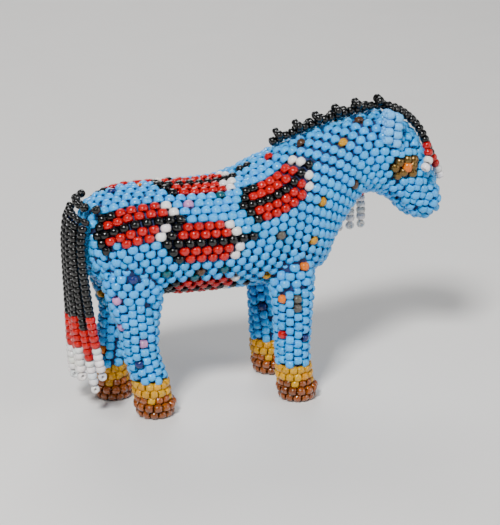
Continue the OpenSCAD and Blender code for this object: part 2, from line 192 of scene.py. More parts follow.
class Lattice:
    """Beads in rows on a form, each row half a bead on from the last one. The first row
    lies at the angle start, and the others go both ways from it as far as reach. sag
    lowers the first row at the form's beginning."""

    # Gaps in a row, in pitches: one bead too many, one too few, and the row's end
    CLOSE, LOOSE, WIDE = 0.72, 1.35, 2.2

    def __init__(self, form, diameter, pitch, step, start, reach, sag=0.0):
        self.form = form
        self.depth = diameter / 2 / MM
        self.pitch = pitch / MM
        self.step = step / MM
        self.start = start
        self.reach = reach
        self.sag = sag
        self.rows = {0: self.first_row()}
        for way in (1, -1):
            number, row = 0, self.rows[0]
            while len(row) > 2:
                row = self.next_row(row, way)
                number += way
                self.rows[number] = row

    def seat(self, place):
        return self.form.seat(place[0], place[1], self.depth)

    def first_row(self):
        def lead(t):
            return self.start + math.copysign(self.sag * max(0, 1 - t / SAG_END) ** 2, self.start)

        ts = np.linspace(0, self.form.last, 600)
        length = run_length([self.seat((t, lead(t))) for t in ts])
        middles = np.arange(self.pitch / 2, length[-1], self.pitch)
        return [(t, lead(t)) for t in np.interp(middles, length, ts)]

    def next_row(self, row, way):
        before = (2 * row[0][0] - row[1][0], row[0][1])
        after = (2 * row[-1][0] - row[-2][0], row[-1][1])
        run = [before] + row + [after]
        placed = []
        for (t1, a1), (t2, a2) in zip(run, run[1:]):
            t = (t1 + t2) / 2
            if not 0 <= t <= self.form.last:
                continue
            ends = self.seat((max(t1, 0), a1)), self.seat((min(t2, self.form.last), a2))
            if math.dist(*ends) > self.WIDE * self.pitch:
                continue
            a = (a1 + a2) / 2
            per_radian = math.dist(self.seat((t, a - 0.05)), self.seat((t, a + 0.05))) / 0.1
            turn = self.step / max(per_radian, 0.5)
            a += way * turn
            if abs(a - self.start) < self.reach - 0.35 * turn:
                placed.append((t, a))
        return self.respaced(placed)

    def respaced(self, row):
        """The row without beads that stand too close, and with one more in wide gaps."""
        kept = row[:1]
        for place in row[1:]:
            gap = math.dist(self.seat(kept[-1]), self.seat(place)) / self.pitch
            if gap < self.CLOSE:
                continue
            if self.LOOSE < gap < self.WIDE:
                kept.append(tuple((np.array(kept[-1]) + np.array(place)) / 2))
            kept.append(place)
        return kept


class Bag:
    """Loose beads waiting to be threaded into one piece, in millimetres."""

    def __init__(self):
        self.centres, self.turns, self.sizes, self.tints, self.runs = [], [], [], [], []

    def add(self, centre, hole, out, tint, size=(1.0, 1.0, 1.0)):
        """hole is the way of the bead's hole, and out the way that it faces."""
        z = Vector(hole).normalized()
        x = (Vector(out) - z * Vector(out).dot(z)).normalized()
        self.turns.append(Matrix((x, z.cross(x), z)).transposed().to_quaternion())
        self.centres.append(np.array(centre, float))
        self.sizes.append(size)
        self.tints.append(tint)

    def thread_last(self, count):
        """The last beads hang on one thread, in order."""
        first = len(self.centres) - count
        self.runs += [(i, i + 1) for i in range(first, len(self.centres) - 1)]


def shade(colour, dice, spread=0.06):
    """The colour of one bead: never quite that of the next."""
    light = 1 + dice.normal(0, spread)
    return tuple(max(0.0, c * light * (1 + dice.normal(0, spread / 3))) for c in colour)


class Nodes:
    """Builds a node tree, one node at a time."""

    def __init__(self, tree):
        self.tree = tree

    def node(self, kind, settings=None, sockets=None, out=0):
        made = self.tree.nodes.new(kind)
        for name, value in (settings or {}).items():
            if name == "stops":
                ramp = made.color_ramp.elements
                while len(ramp) < len(value):
                    ramp.new(0.5)
                for stop, (place, colour) in zip(ramp, value):
                    stop.position = place
                    stop.color = colour
            else:
                setattr(made, name, value)
        for key, value in (sockets or {}).items():
            self.feed(made.inputs[key], value)
        return Wire(self, made, made.outputs[out]) if len(made.outputs) else made

    def feed(self, socket, value):
        if isinstance(value, Wire):
            self.tree.links.new(value.socket, socket)
        else:
            socket.default_value = value


class Wire:
    """One output socket. Sums on it add Math nodes."""

    def __init__(self, nodes, made, socket):
        self.nodes, self.made, self.socket = nodes, made, socket

    def out(self, name):
        return Wire(self.nodes, self.made, self.made.outputs[name])

    def sum(self, operation, first, second):
        return self.nodes.node("ShaderNodeMath", {"operation": operation}, {0: first, 1: second})

    def __add__(self, other):
        return self.sum("ADD", self, other)

    def __sub__(self, other):
        return self.sum("SUBTRACT", self, other)

    def __rsub__(self, other):
        return self.sum("SUBTRACT", other, self)

    def __mul__(self, other):
        return self.sum("MULTIPLY", self, other)

    __radd__ = __add__

    def spread(self, low, high):
        """A value from 0 to 1 brought to low to high."""
        return self * (high - low) + low


class Finish(Nodes):
    """A material with its Principled shader, on Object coordinates."""

    def __init__(self, name, **fixed):
        self.material = bpy.data.materials.new(name)
        self.material.use_nodes = True
        super().__init__(self.material.node_tree)
        self.tree.nodes.clear()
        self.shader = self.tree.nodes.new("ShaderNodeBsdfPrincipled")
        end = self.tree.nodes.new("ShaderNodeOutputMaterial")
        self.tree.links.new(self.shader.outputs[0], end.inputs[0])
        for key, value in fixed.items():
            self.shader.inputs[key.replace("_", " ")].default_value = value
        self.place = self.node("ShaderNodeTexCoord").out("Object")

    def noise(self, size, detail=2.0, roughness=0.5):
        """Noise whose blots are about size metres across."""
        given = {"Vector": self.place, "Scale": 1 / size, "Detail": detail, "Roughness": roughness}
        return self.node("ShaderNodeTexNoise", None, given)

    def mix(self, first, second, factor, blend="MIX"):
        kind = {"data_type": "RGBA", "blend_type": blend}
        return self.node("ShaderNodeMix", kind, {0: factor, 6: first, 7: second}, out=2)

    def bump(self, height, strength, depth):
        given = {"Strength": strength, "Distance": depth, "Height": height}
        return self.node("ShaderNodeBump", None, given)

    def paint(self, **wires):
        for key, value in wires.items():
            self.feed(self.shader.inputs[key.replace("_", " ")], value)
        return self.material


def rgba(colour):
    return (*colour[:3], 1.0)


def glass_beads(name, shine=0.25, rough=0.1, metallic=0.0):
    """Opaque glass beads: the tint of each bead, a little cloudier and duller in places."""
    finish = Finish(
        name, Coat_Weight=shine, Coat_Roughness=0.04, Specular_IOR_Level=0.38, Metallic=metallic
    )
    tint = finish.node("ShaderNodeAttribute", {"attribute_name": "tint"}).out("Color")
    cloud = finish.noise(0.0011)
    wear = finish.noise(0.0004, 3.0)
    worn = finish.node("ShaderNodeMapRange", None, {"Value": wear, 1: 0.56, 2: 0.72}).out("Result")
    shaded = finish.mix((1, 1, 1, 1), (0.55, 0.6, 0.7, 1), cloud * 0.8)
    deep = finish.mix(tint, shaded, 1.0, "MULTIPLY")
    dusty = finish.mix(deep, (0.7, 0.72, 0.75, 1), worn * 0.008)
    return finish.paint(
        Base_Color=dusty,
        Roughness=worn.spread(rough, rough + 0.2) + cloud * 0.06,
        Normal=finish.bump(finish.noise(0.0007), 0.12, 0.00006),
    )


def stitched_cloth(name, colour, strand=0.0003, rough=0.75):
    """Thread laid close over cloth, in two crossing ways."""
    finish = Finish(name, Sheen_Weight=0.15)
    waves = [
        finish.node(
            "ShaderNodeTexWave",
            {"bands_direction": way},
            {"Vector": finish.place, "Scale": 0.05 / strand, "Distortion": 1.5, "Detail": 2.0},
        ).out("Fac")
        for way in ("X", "Z")
    ]
    weave = waves[0] * waves[1]
    dark = tuple(c * 0.45 for c in colour[:3])
    shaded = finish.mix(rgba(dark), rgba(colour), weave * 0.6 + finish.noise(0.002) * 0.5)
    return finish.paint(
        Base_Color=shaded,
        Roughness=finish.noise(0.001).spread(rough - 0.1, rough + 0.1),
        Normal=finish.bump(weave, 0.4, 0.0001),
    )


def drawn_wire(name):
    finish = Finish(name, Metallic=1.0)
    streaks = finish.noise(0.0005, 4.0)
    return finish.paint(
        Base_Color=finish.mix((0.42, 0.43, 0.45, 1), (0.6, 0.61, 0.63, 1), streaks),
        Roughness=streaks.spread(0.28, 0.5),
        Normal=finish.bump(streaks, 0.1, 0.00005),
    )


def bead_tree():
    """Threads a bead on every point of a mesh, and a thread along its edges."""
    tree = bpy.data.node_groups.new("Threaded beads", "GeometryNodeTree")
    sockets = {}
    tree.interface.new_socket("Points", in_out="INPUT", socket_type="NodeSocketGeometry")
    for name, kind in (
        ("Diameter", "NodeSocketFloat"),
        ("Hole", "NodeSocketFloat"),
        ("Length", "NodeSocketFloat"),
        ("Thread", "NodeSocketFloat"),
        ("Unevenness", "NodeSocketFloat"),
        ("Seed", "NodeSocketInt"),
        ("Finish", "NodeSocketMaterial"),
        ("Thread colour", "NodeSocketColor"),
    ):
        sockets[name] = tree.interface.new_socket(name, in_out="INPUT", socket_type=kind).identifier
    tree.interface.new_socket("Beads", in_out="OUTPUT", socket_type="NodeSocketGeometry")
    nodes = Nodes(tree)
    given = nodes.node("NodeGroupInput")
    points = given.out("Points")

    def circle(corners, radius):
        given = {"Resolution": corners, "Radius": radius}
        return nodes.node("GeometryNodeCurvePrimitiveCircle", {"mode": "RADIUS"}, given)

    def attribute(name, kind):
        made = nodes.node("GeometryNodeInputNamedAttribute", {"data_type": kind}, {"Name": name})
        return made.out("Attribute")

    quarter = (given.out("Diameter") + given.out("Hole")) * 0.25
    wall = (given.out("Diameter") - given.out("Hole")) * 0.25
    ring = circle(11, quarter)
    oval = circle(8, 1.0)
    stretch = nodes.node("ShaderNodeCombineXYZ", None, {0: wall, 1: given.out("Length") * 0.54, 2: 1.0})
    oval = nodes.node("GeometryNodeTransform", None, {"Geometry": oval, "Scale": stretch})
    bead = nodes.node("GeometryNodeCurveToMesh", None, {0: ring, 1: oval})
    turn = attribute("turn", "QUATERNION")
    size = attribute("size", "FLOAT_VECTOR")
    least = nodes.node("ShaderNodeCombineXYZ", None, {k: 1 - given.out("Unevenness") for k in range(3)})
    most = nodes.node("ShaderNodeCombineXYZ", None, {k: 1 + given.out("Unevenness") for k in range(3)})
    odd = nodes.node(
        "FunctionNodeRandomValue",
        {"data_type": "FLOAT_VECTOR"},
        {0: least, 1: most, "Seed": given.out("Seed")},
    ).out("Value")
    scale = nodes.node("ShaderNodeVectorMath", {"operation": "MULTIPLY"}, {0: size, 1: odd})
    placed = nodes.node(
        "GeometryNodeInstanceOnPoints",
        None,
        {"Points": points, "Instance": bead, "Rotation": turn, "Scale": scale},
    )
    route = nodes.node("GeometryNodeMeshToCurve", None, {"Mesh": points})
    strand = circle(6, given.out("Thread"))
    thread = nodes.node("GeometryNodeCurveToMesh", None, {0: route, 1: strand})
    dyed = nodes.node(
        "GeometryNodeStoreNamedAttribute",
        {"data_type": "FLOAT_COLOR", "domain": "POINT"},
        {"Geometry": thread, "Name": "tint", "Value": given.out("Thread colour")},
    )
    both = nodes.tree.nodes.new("GeometryNodeJoinGeometry")
    tree.links.new(dyed.socket, both.inputs[0])
    tree.links.new(placed.socket, both.inputs[0])
    real = nodes.node("GeometryNodeRealizeInstances", None, {0: Wire(nodes, both, both.outputs[0])})
    soft = nodes.node("GeometryNodeSetShadeSmooth", None, {0: real})
    coat = {"Geometry": soft, "Material": given.out("Finish")}
    made = nodes.node("GeometryNodeSetMaterial", None, coat)
    end = tree.nodes.new("NodeGroupOutput")
    tree.links.new(made.socket, end.inputs[0])
    return tree, sockets


def closed_outwards(mesh):
    """Turns a closed mesh's faces outwards if they all point in."""
    corners = np.empty(len(mesh.vertices) * 3)
    mesh.vertices.foreach_get("co", corners)
    corners = corners.reshape(-1, 3)
    mesh.calc_loop_triangles()
    faces = np.empty(len(mesh.loop_triangles) * 3, np.int32)
    mesh.loop_triangles.foreach_get("vertices", faces)
    a, b, c = (corners[faces.reshape(-1, 3)[:, k]] for k in range(3))
    if np.einsum("ij,ij->i", a, np.cross(b, c)).sum() < 0:
        mesh.flip_normals()


def thread_beads(
    name, bag, finish, slot, stands_for, body=FIXED, diameter=None, length=None, seed=1
):
    """One piece: the bag's beads threaded by the tree, then made a plain mesh."""
    beads = bpy.context.scene.horse_beads
    colours = bpy.context.scene.horse_colours
    tree = bpy.data.node_groups.get("Threaded beads")
    if tree is None:
        tree, sockets = bead_tree()
        tree["sockets"] = sockets
    sockets = dict(tree["sockets"])
    mesh = bpy.data.meshes.new(name)
    mesh.from_pydata([tuple(c * MM) for c in bag.centres], bag.runs, [])
    for key, kind, field, values in (
        ("turn", "QUATERNION", "value", [tuple(q) for q in bag.turns]),
        ("size", "FLOAT_VECTOR", "vector", bag.sizes),
        ("tint", "FLOAT_COLOR", "color", [rgba(t) for t in bag.tints]),
    ):
        layer = mesh.attributes.new(key, kind, "POINT").data
        layer.foreach_set(field, np.array(values, np.float32).ravel())
    piece = bpy.data.objects.new(name, mesh)
    bpy.context.scene.collection.objects.link(piece)
    modifier = piece.modifiers.new("Beads", "NODES")
    modifier.node_group = tree
    for key, value in (
        ("Diameter", diameter or beads.diameter),
        ("Hole", beads.hole),
        ("Length", length or beads.length),
        ("Thread", beads.thread / 2),
        ("Unevenness", beads.unevenness),
        ("Seed", seed),
        ("Finish", finish),
        ("Thread colour", rgba(colours.thread)),
    ):
        modifier[sockets[key]] = value
    graph = bpy.context.evaluated_depsgraph_get()
    plain = bpy.data.meshes.new_from_object(
        piece.evaluated_get(graph), preserve_all_data_layers=True, depsgraph=graph
    )
    piece.modifiers.remove(modifier)
    piece.data = plain
    plain.name = name
    bpy.data.meshes.remove(mesh)
    for key in ("turn", "size"):
        if key in plain.attributes:
            plain.attributes.remove(plain.attributes[key])
    closed_outwards(plain)
    if not plain.materials:
        plain.materials.append(finish)
    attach(piece, body)
    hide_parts(stands_for)
    return piece


def plain_piece(name, points, faces, finish, body):
    mesh = bpy.data.meshes.new(name)
    mesh.from_pydata([tuple(np.array(p) * MM) for p in points], [], faces)
    mesh.polygons.foreach_set("use_smooth", [True] * len(mesh.polygons))
    closed_outwards(mesh)
    mesh.materials.append(finish)
    piece = bpy.data.objects.new(name, mesh)
    bpy.context.scene.collection.objects.link(piece)
    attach(piece, body)
    return piece


# Between the padding and the outside of the cloth over it
CLOTH_THICKNESS = 0.15


def lining(name, form, depth, along, around, finish, t_from=0.0, over=()):
    """A closed cloth skin at a depth under a form's outside, and over the paddings."""
    paddings = [face_tree(node) for node in over]
    points, faces = [], []
    for i in range(along + 1):
        t = t_from + (form.last - t_from) * i / along
        for k in range(around):
            here, _, _, out = form.axes(t, 2 * math.pi * k / around)
            deep = depth
            for padding in paddings:
                hit = padding.ray_cast(Vector(here) * MM, -Vector(out), depth * MM * 1.2)[3]
                if hit is not None:
                    deep = min(deep, hit / MM - CLOTH_THICKNESS)
            points.append(here - out * deep)
    for i in range(along):
        for k in range(around):
            a, b = i * around + k, i * around + (k + 1) % around
            faces.append((a, b, b + around, a + around))
    for first in (0, along * around):
        middle = len(points)
        points.append(np.mean(points[first : first + around], axis=0))
        for k in range(around):
            a, b = first + k, first + (k + 1) % around
            faces.append((middle, a, b) if first else (middle, b, a))
    return plain_piece(name, points, faces, finish, FIXED)


def face_tree(node):
    """A tree of the node's faces, for nearest points, in metres."""
    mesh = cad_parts[node].data
    faces = [tuple(p.vertices) for p in mesh.polygons]
    return BVHTree.FromPolygons([v.co.copy() for v in mesh.vertices], faces)


# Places of the beads


def on_head(t):
    return HEAD_FROM + t


def spot(form, t, degrees, lift):
    return form.seat(t, math.radians(degrees), -lift)


def eye_spot(side):
    return spot(Form(BODY), on_head(2.45), side * 88, -1.12)


# From the middle of a string's bead to its rim, where beads touch inside a bend
RIM = 0.89


def threaded(route, pitch, rim, reach=math.inf, tips=0, tip_pitch=0.0):
    """Centres and ways of beads along a route whose rims meet inside its bends. The last
    of them, tips in number, may lie at a pitch of their own."""
    fine = np.array([smooth(route, k / 8) for k in range(8 * (len(route) - 1) + 1)])
    hops = np.diff(fine, axis=0)
    length = [0.0, float(np.linalg.norm(hops[0]))]
    for a, b in zip(hops, hops[1:]):
        cosine = float(np.dot(a, b) / (np.linalg.norm(a) * np.linalg.norm(b)))
        length.append(length[-1] + float(np.linalg.norm(b)) - rim * math.acos(min(1.0, cosine)))

    def at(l):
        return np.array([np.interp(l, length, fine[:, c]) for c in range(3)])

    count = int((min(reach, length[-1]) - tips * tip_pitch) / pitch)
    middles = [(i + 0.5) * pitch for i in range(count)]
    middles += [count * pitch + (i + 0.5) * tip_pitch for i in range(tips)]
    return [(at(l), at(l + 0.3 * pitch) - at(l - 0.3 * pitch)) for l in middles]


def mane_route(i):
    """Over the left side of the neck from the crest, then straight down."""
    body = Form(BODY)
    x = 9.7 + 2.55 * i
    over = []
    for k in range(8):
        low, high = NECK_FROM, HEAD_FROM + 4
        for _ in range(30):
            t = (low + high) / 2
            low, high = (t, high) if spot(body, t, 21 + 10.5 * k, 1.4)[0] < x else (low, t)
        _, y, z = spot(body, t, 21 + 10.5 * k, 1.4)
        over.append(np.array([x + max(0, k - 4) * 0.28, y, z]))
    return over + [over[-1] + np.array([0.8 * min(1, d / 15), 0.25, -d]) for d in (4, 9, 15, 22, 30)]


# The forelock's strings: places along the head, and degrees from its top
FORELOCK = [
    [(1.35, -14), (1.75, -15), (2.2, -18), (2.6, -24), (2.9, -32), (3.15, -42)]
    + [(3.3, -54), (3.25, -67), (3.05, -81)],
    [(1.35, 14), (1.8, 11), (2.3, 9), (2.8, 7), (3.3, 5), (3.8, 4), (4.3, 3), (4.9, 2), (5.6, 2)],
]


def forelock_route(i):
    return [spot(Form(BODY), on_head(t), degrees, 1.3) for t, degrees in FORELOCK[i]]


def behind_rump(y, z, lift):
    """The spot at y and z that is lift behind the rump."""
    body = Form(BODY)
    widths, ts = [], []
    for k in range(31):
        t = 0.9 + 0.08 * k
        s = smooth(BODY, t)
        c = min(1, (z - (s[1] + s[3]) / 2) / (s[1] - s[3]) * 2)
        widths.append(s[4] * math.sqrt(max(0, 1 - c * c)) + k * 0.0001)
        ts.append(t)
    t = float(np.interp(abs(y), widths, ts))
    here, _, _, out = body.axes(t, math.asin(max(-1, min(1, y / smooth(BODY, t)[4]))))
    return np.array([here[0] + lift / min(out[0], -0.35), y, z])


# The tail's strings: shift back and drop from the root, lean forward, and length
TAIL_DROPS = [(0, 0), (-0.9, 1.4), (-1.5, 4.4), (-1.7, 9), (-1.6, 17), (-1.4, 26), (-1.1, 34), (-0.8, 42)]
TAIL_TOP, TAIL_SPACING = 44.3, 2.42
TAIL_LEAN = [4.4, 3.4, 1.6, 1.8, 0.4, -0.4]
TAIL_LENGTHS = [34.8, 39, 36.6, 37.8, 38, 37]


def tail_root(i):
    return behind_rump((i - 2.5) * TAIL_SPACING, TAIL_TOP, 1.4)


def tail_route(i):
    return [tail_root(i) + np.array([x + TAIL_LEAN[i] * (d / 42) ** 1.6, 0, -d]) for x, d in TAIL_DROPS]


# Feather signs on the skin. Each starts at its black tip behind and points forward:
# five rows, the middle one black, the others red with one white bead at the front.
FEATHERS = [(-38.7, 5.8, 40.9), (-25.0, 11.5, 39.2), (-7.6, 8.9, 45.2), (-24.0, 5.4, 25.4)]
FAR_RUMP_FEATHER = (-35.5, 4.6, 46.4)
BACK_FEATHER_X = -22.3
# Odd beads here and there on the right side, by colour
ODD_BEADS = {
    "orange": [(-26.6, -0.8, 49.2), (0.1, -10.3, 23.6), (5.8, -10.4, 30.9)],
    "navy": [(-33.5, -1.4, 48.3), (-31.0, -9.1, 11.7), (6.1, -11.5, 13.8), (2.2, 4.3, 17.1)]
    + [(-32.1, -10.5, 33.3)],
    "pink": [(-17.7, -7.6, 46.3), (-34.6, -9.2, 27.4), (-33.9, -7.5, 20.2), (-28.4, -10.2, 16.7)],
    "teal": [(-11.1, -7.2, 46.6), (-24.5, -10.3, 31.5), (-11.8, -10.8, 31.2), (-17.2, -8.9, 28.6)],
    "umber": [(-16.1, -10.6, 31.0), (19.5, -6.9, 46.3), (21.4, -1.9, 59.0), (7.4, -3.1, 54.9)],
    "yellow": [(8.3, -8.9, 36.0), (16.5, -5.5, 55.1), (-1.7, -7.4, 27.1), (9.9, -9.4, 43.6)]
    + [(-34.6, 3.6, 23.8)],
    "red": [(0.1, -1.6, 52.8), (0.7, -10.5, 15.5)],
    "grey": [(1.5, -11.1, 38.5), (3.8, -11.8, 24.3), (3.5, -12.0, 20.6)],
}


def feather_tint(row, along, colours):
    """The colour at a row, -2 to 2, and a place along in beads from the black tip."""
    tip, last_red = {0: (-0.4, 0), 1: (0.1, 6.0), 2: (0.6, 5.6)}[abs(row)]
    if row == 0:
        return colours.black if tip <= along < 8.4 else None
    if not tip <= along < last_red + 1:
        return None
    first_red = 1.0 if abs(row) == 1 else 1.6
    return colours.black if along < first_red else colours.red if along < last_red else colours.white


def laid(form, t, a, depth, tint, row=None, upright=False):
    """One bead of a skin. Its hole goes round the form, or along it if it is upright."""
    here, along, around, out = form.axes(t, a)
    hole = along if upright else around
    return {"row": row, "t": t, "at": here - out * depth, "hole": hole, "out": out, "tint": tint}


class Skin:
    """The beads of one lattice, with a colour for each."""

    def __init__(self, lattice, plain):
        self.lattice = lattice
        self.items = [
            laid(lattice.form, t, a, lattice.depth, plain, number)
            for number, row in lattice.rows.items()
            for t, a in row
        ]

    def nearest(self, place):
        return min(self.items, key=lambda bead: np.linalg.norm(bead["at"] - place))

    def lay_feather(self, tip, colours):
        lead = self.nearest(np.array(tip))
        for row in range(-2, 3):
            beads = [bead for bead in self.items if bead["row"] == lead["row"] + row]
            beads.sort(key=lambda bead: bead["t"])
            if len(beads) < 2:
                continue
            length = run_length([b["at"] for b in beads]) / self.lattice.pitch
            zero = np.interp(lead["t"], [b["t"] for b in beads], length)
            for bead, l in zip(beads, length):
                tint = feather_tint(row, l - zero, colours)
                if tint is not None:
                    bead["tint"] = tuple(tint)


def inside_leg(form, place, spare):
    """Whether a place lies in a leg's section, more than spare under its skin."""
    if not form.rows[-1][0] <= place[2] <= form.rows[0][0]:
        return False
    _, front, back, y, wide = smooth(form.rows, form.at_height(place[2]))
    half = (front - back) / 2 - spare
    return ((place[0] - (front + back) / 2) / half) ** 2 + ((place[1] - y) / (wide - spare)) ** 2 < 1


# Above this height a leg's beads lie as the trunk's do
KNEE_TOP = 24.6
# How near beads may come to each other: those of the trunk's rows, those of a leg, whole
# ones that close a wide gap, and small ones in what is left
ROW_GAP, LEG_GAP, FILLER_GAP, SMALL_GAP = 1.62, 1.5, 1.68, 1.42
SMALL_SIZE = (0.78, 0.78, 0.85)
# Trunk beads end this far under a leg's skin, and leg beads this far from their CAD skin
UNDER_LEG, OFF_SKIN = 2.5, 1.2
BAND_TOP = 8.5


class Crowd:
    """Beads that have their places. Each new one keeps a gap to them."""

    def __init__(self, cell=2.0):
        self.cell = cell
        self.grid = {}

    def box(self, at):
        return tuple(np.floor(at / self.cell).astype(int))

    def free(self, at, gap):
        x, y, z = self.box(at)
        return not any(
            math.dist(other, at) < gap
            for dx in (-1, 0, 1)
            for dy in (-1, 0, 1)
            for dz in (-1, 0, 1)
            for other in self.grid.get((x + dx, y + dy, z + dz), ())
        )

    def let_in(self, items, gap):
        kept = []
        for bead in items:
            if self.free(bead["at"], gap):
                self.grid.setdefault(self.box(bead["at"]), []).append(tuple(bead["at"]))
                kept.append(bead)
        return kept


def fillers(form, depth, plain):
    """Beads tried everywhere on a form, to close the gaps that the rows leave."""
    for degrees in [0, 180] + list(range(-174, 180, 6)):
        for t in np.arange(0.02, form.last, 0.05):
            yield laid(form, t, math.radians(degrees), depth, plain)


def fill_gaps(form, depth, plain, crowd, shown):
    """Whole beads in the wide gaps first, then small ones in what is left."""
    tried = [bead for bead in fillers(form, depth, plain) if shown(bead)]
    kept = crowd.let_in(tried, FILLER_GAP)
    small = crowd.let_in(tried, SMALL_GAP)
    for bead in small:
        bead["size"] = SMALL_SIZE
    return kept + small


def body_skin(crowd):
    """All beads of trunk, neck and head."""
    beads = bpy.context.scene.horse_beads
    colours = bpy.context.scene.horse_colours
    form = Form(BODY)
    blue = tuple(colours.blue)
    items = []
    for side in (-1, 1):
        middle = side * math.pi / 2
        rows = Lattice(form, beads.diameter, beads.pitch, beads.row_step, middle, math.pi / 2, sag=1.3)
        skin = Skin(rows, blue)
        signs = [(x, side * y, z) for x, y, z in FEATHERS]
        if side > 0:
            signs[0] = FAR_RUMP_FEATHER
        for tip in signs:
            skin.lay_feather(tip, colours)
        items += skin.items
    legs = [leg_form(leg) for leg in LEGS]

    def shown(bead):
        return not any(inside_leg(leg, bead["at"], UNDER_LEG) for leg in legs)

    items = crowd.let_in(filter(shown, items), ROW_GAP)
    items += fill_gaps(form, beads.diameter / 2 / MM, blue, crowd, shown)
    for bead in items:
        x, y, z = bead["at"]
        row = round((y + 1.2) / 1.6)
        if z > 44 and abs(row) < 3 and x < 0:
            sign = feather_tint(row, (x - BACK_FEATHER_X) / 2.3 + (0.5 if row % 2 else 0), colours)
            if sign is not None:
                bead["tint"] = tuple(sign)
    return items


def thigh_rings(form, side, depth, pitch, step, plain):
    """Beads round the top of a leg, lying as those of the trunk's rows do."""
    middle = side * math.pi / 2
    angles = middle + np.linspace(-math.pi, math.pi, 181)
    for k in range(int((form.rows[0][0] - KNEE_TOP) / step)):
        t = form.at_height(KNEE_TOP + (k + 0.5) * step)
        length = run_length([form.seat(t, a, depth) for a in angles])
        length -= np.interp(middle, angles, length)
        many = int((length[-1] - pitch * 0.4) / pitch)
        for i in range(-many, many + k % 2):
            a = float(np.interp((i if k % 2 else i + 0.5) * pitch, length, angles))
            yield laid(form, t, a, depth, plain, upright=True)


def leg_skin(leg, crowd):
    """All beads of one leg that lie on its CAD skin: columns below, rings on the thigh."""
    beads = bpy.context.scene.horse_beads
    blue = tuple(bpy.context.scene.horse_colours.blue)
    form = leg_form(leg)
    side = -1 if leg.endswith("right") else 1
    columns = Lattice(
        form, beads.leg_diameter, beads.leg_pitch, beads.leg_step, side * math.pi / 2, math.pi
    )
    cad = face_tree(leg + "_leg_beadwork")
    depth = beads.diameter / 2 / MM
    rings = thigh_rings(form, side, depth, beads.pitch / MM, beads.row_step / MM, blue)

    def shown(bead):
        top = Vector((bead["at"] + bead["out"] * depth) * MM)
        return bead["at"][2] > BAND_TOP and cad.find_nearest(top, OFF_SKIN * MM)[0]

    def low(bead):
        return bead["at"][2] < KNEE_TOP + 0.4 and shown(bead)

    kept = crowd.let_in(filter(low, Skin(columns, blue).items), LEG_GAP)
    small = beads.leg_diameter / beads.diameter
    for bead in kept:
        bead["size"] = (small, small, 1.0)
    kept += crowd.let_in(filter(shown, rings), LEG_GAP)
    return kept + fill_gaps(form, depth, blue, crowd, shown)


def add_odd_beads(items, dice):
    """Single beads of other colours: placed on the right, thrown on the left."""
    colours = bpy.context.scene.horse_colours
    blue = tuple(colours.blue)
    free = [bead for bead in items if bead["tint"] == blue]
    for name, places in ODD_BEADS.items():
        for place in places:
            bead = min(free, key=lambda b: np.linalg.norm(b["at"] - np.array(place)))
            bead["tint"] = tuple(getattr(colours, name))
    left = [bead for bead in free if bead["at"][1] > 1 and bead["tint"] == blue]
    for i in dice.choice(len(left), 30, replace=False):
        left[i]["tint"] = tuple(getattr(colours, list(ODD_BEADS)[int(i) % len(ODD_BEADS)]))


def bag_of(items, dice):
    bag = Bag()
    for bead in items:
        wobble = dice.normal(0, 0.07, 3)
        at = bead["at"] + dice.normal(0, 0.03, 3)
        size = bead.get("size", (1.0, 1.0, 1.0))
        bag.add(at, bead["hole"] + wobble, bead["out"], shade(bead["tint"], dice), size)
    return bag


# What a user would change


def length_of(name, words, value):
    return FloatProperty(
        name=name, description=words, default=value * MM, min=0, unit="LENGTH", precision=5
    )


def colour_of(name, words, value):
    return FloatVectorProperty(
        name=name, description=words, default=value, size=3, min=0, max=1, subtype="COLOR"
    )


def angle_of(name, words, degrees):
    return FloatProperty(
        name=name, description=words, default=math.radians(degrees), subtype="ANGLE", unit="ROTATION"
    )


class HorseBeads(bpy.types.PropertyGroup):
    """Sizes of the beads and of the rows that they lie in."""

    diameter: length_of("Diameter", "Across a bead of the skins", 2.24)
    length: length_of("Length", "A bead of the skins along its hole", 1.6)
    hole: length_of("Hole", "Across a bead's hole", 0.45)
    pitch: length_of("Pitch", "From bead to bead along a row", 2.36)
    row_step: length_of("Row step", "From row to row", 1.62)
    leg_diameter: length_of("Leg diameter", "Across a bead of the lower legs", 1.95)
    leg_pitch: length_of("Leg pitch", "From bead to bead down a leg", 1.98)
    leg_step: length_of("Leg step", "From column to column round a leg", 1.68)
    string_diameter: length_of("String diameter", "Across a bead of the strings", 1.98)
    string_length: length_of("String length", "A bead of the strings along its hole", 1.16)
    string_pitch: length_of("String pitch", "From bead to bead along a string", 1.2)
    tip_pitch: length_of("Tip pitch", "From bead to bead at a string's coloured end", 1.4)
    thread: length_of("Thread", "Across the thread", 0.3)
    unevenness: FloatProperty(
        name="Unevenness", description="How far beads differ in size", default=0.045, min=0, max=0.2
    )
    seed: IntProperty(name="Seed", description="Start of the chance differences", default=11, min=0)


